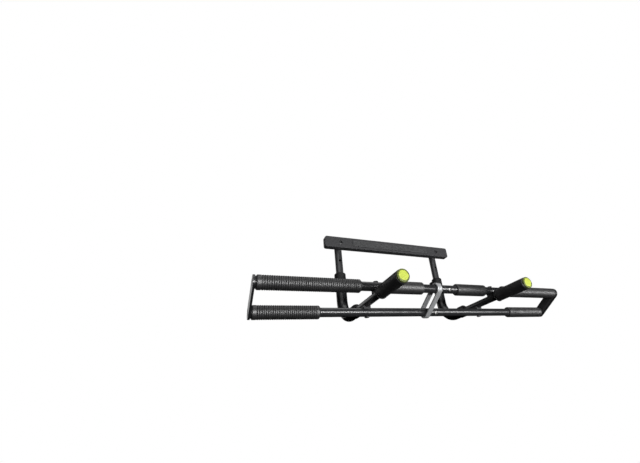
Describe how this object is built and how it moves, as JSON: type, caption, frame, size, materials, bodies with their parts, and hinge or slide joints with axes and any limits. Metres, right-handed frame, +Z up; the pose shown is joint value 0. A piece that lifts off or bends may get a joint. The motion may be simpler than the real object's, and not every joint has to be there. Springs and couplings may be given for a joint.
{
  "type": "doorway pull-up bar",
  "caption": "Doorway pull-up bar with two cross bars, foam grips, forward neutral-grip handles and a sliding hook board on curved arms.",
  "frame": {"origin": "middle of the hook board's underside, which rests on top of the door trim", "axes": "+X along the bars, -Y towards the person using it, +Z up"},
  "size_m": [1, 0.4234, 0.3257],
  "materials": {
    "powder_coat": "satin black powder coat",
    "foam_grip": "ribbed black foam rubber",
    "lime_cap": "lime green moulded plastic",
    "silver_link": "satin silver grey strap",
    "black_plastic": "fine textured black plastic",
    "pad_rubber": "grooved black rubber",
    "zinc_screw": "zinc plated steel",
    "dark_steel": "black oxide steel"
  },
  "bodies": {
    "hook": {"hook_board": "black_plastic", "hook_pad": "pad_rubber", "hook_tube_left": "powder_coat", "hook_tube_right": "powder_coat", "board_screw_left": "dark_steel", "board_screw_right": "dark_steel"},
    "frame": {"lower_bar_left": "powder_coat", "lower_bar_right": "powder_coat", "upper_bar_left": "powder_coat", "upper_bar_right": "powder_coat", "end_plate_left": "powder_coat", "end_plate_right": "powder_coat", "handle_tube_left": "powder_coat", "handle_tube_right": "powder_coat", "arm_tube_left": "powder_coat", "arm_tube_right": "powder_coat", "lower_bar_grip_left": "foam_grip", "lower_bar_grip_right": "foam_grip", "upper_bar_grip_left": "foam_grip", "upper_bar_grip_right": "foam_grip", "upper_bar_centre_grip_left": "foam_grip", "upper_bar_centre_grip_right": "foam_grip", "handle_grip_left": "foam_grip", "handle_grip_right": "foam_grip", "handle_cap_left": "lime_cap", "handle_cap_right": "lime_cap", "centre_link": "silver_link", "lower_end_insert_left": "black_plastic", "lower_end_insert_right": "black_plastic", "upper_end_insert_left": "black_plastic", "upper_end_insert_right": "black_plastic", "handle_flange_left": "black_plastic", "handle_flange_right": "black_plastic", "lower_saddle_left": "black_plastic", "lower_saddle_right": "black_plastic", "upper_saddle_left": "black_plastic", "upper_saddle_right": "black_plastic", "arm_ferrule_left": "black_plastic", "arm_ferrule_right": "black_plastic", "arm_collar_left": "black_plastic", "arm_collar_right": "black_plastic", "lower_bar_splice_screw": "zinc_screw", "upper_bar_splice_screw": "zinc_screw", "lower_end_screw_left": "zinc_screw", "lower_end_screw_right": "zinc_screw", "upper_end_screw_left": "zinc_screw", "upper_end_screw_right": "zinc_screw", "lower_bar_sleeve": "dark_steel", "upper_bar_sleeve": "dark_steel", "lower_bolt_left": "dark_steel", "lower_bolt_right": "dark_steel", "lower_nut_left": "dark_steel", "lower_nut_right": "dark_steel", "upper_bolt_left": "dark_steel", "upper_bolt_right": "dark_steel", "upper_nut_left": "dark_steel", "upper_nut_right": "dark_steel"},
    "lock_knob_left": {"lock_knob_left": "black_plastic"},
    "lock_knob_right": {"lock_knob_right": "black_plastic"}
  },
  "joints": [
    {"name": "hook_height", "type": "slide", "parent": "hook", "child": "frame", "axis": [0, 0, -1], "range_m": [-0.05, 0.04]},
    {"name": "lock_knob_left_turn", "type": "hinge", "parent": "frame", "child": "lock_knob_left", "pos_m": [-0.2, 0.0228, -0.098], "axis": [0, 1, 0], "range_deg": [-360, 0]},
    {"name": "lock_knob_right_turn", "type": "hinge", "parent": "frame", "child": "lock_knob_right", "pos_m": [0.2, 0.0228, -0.098], "axis": [0, 1, 0], "range_deg": [-360, 0]}
  ]
}
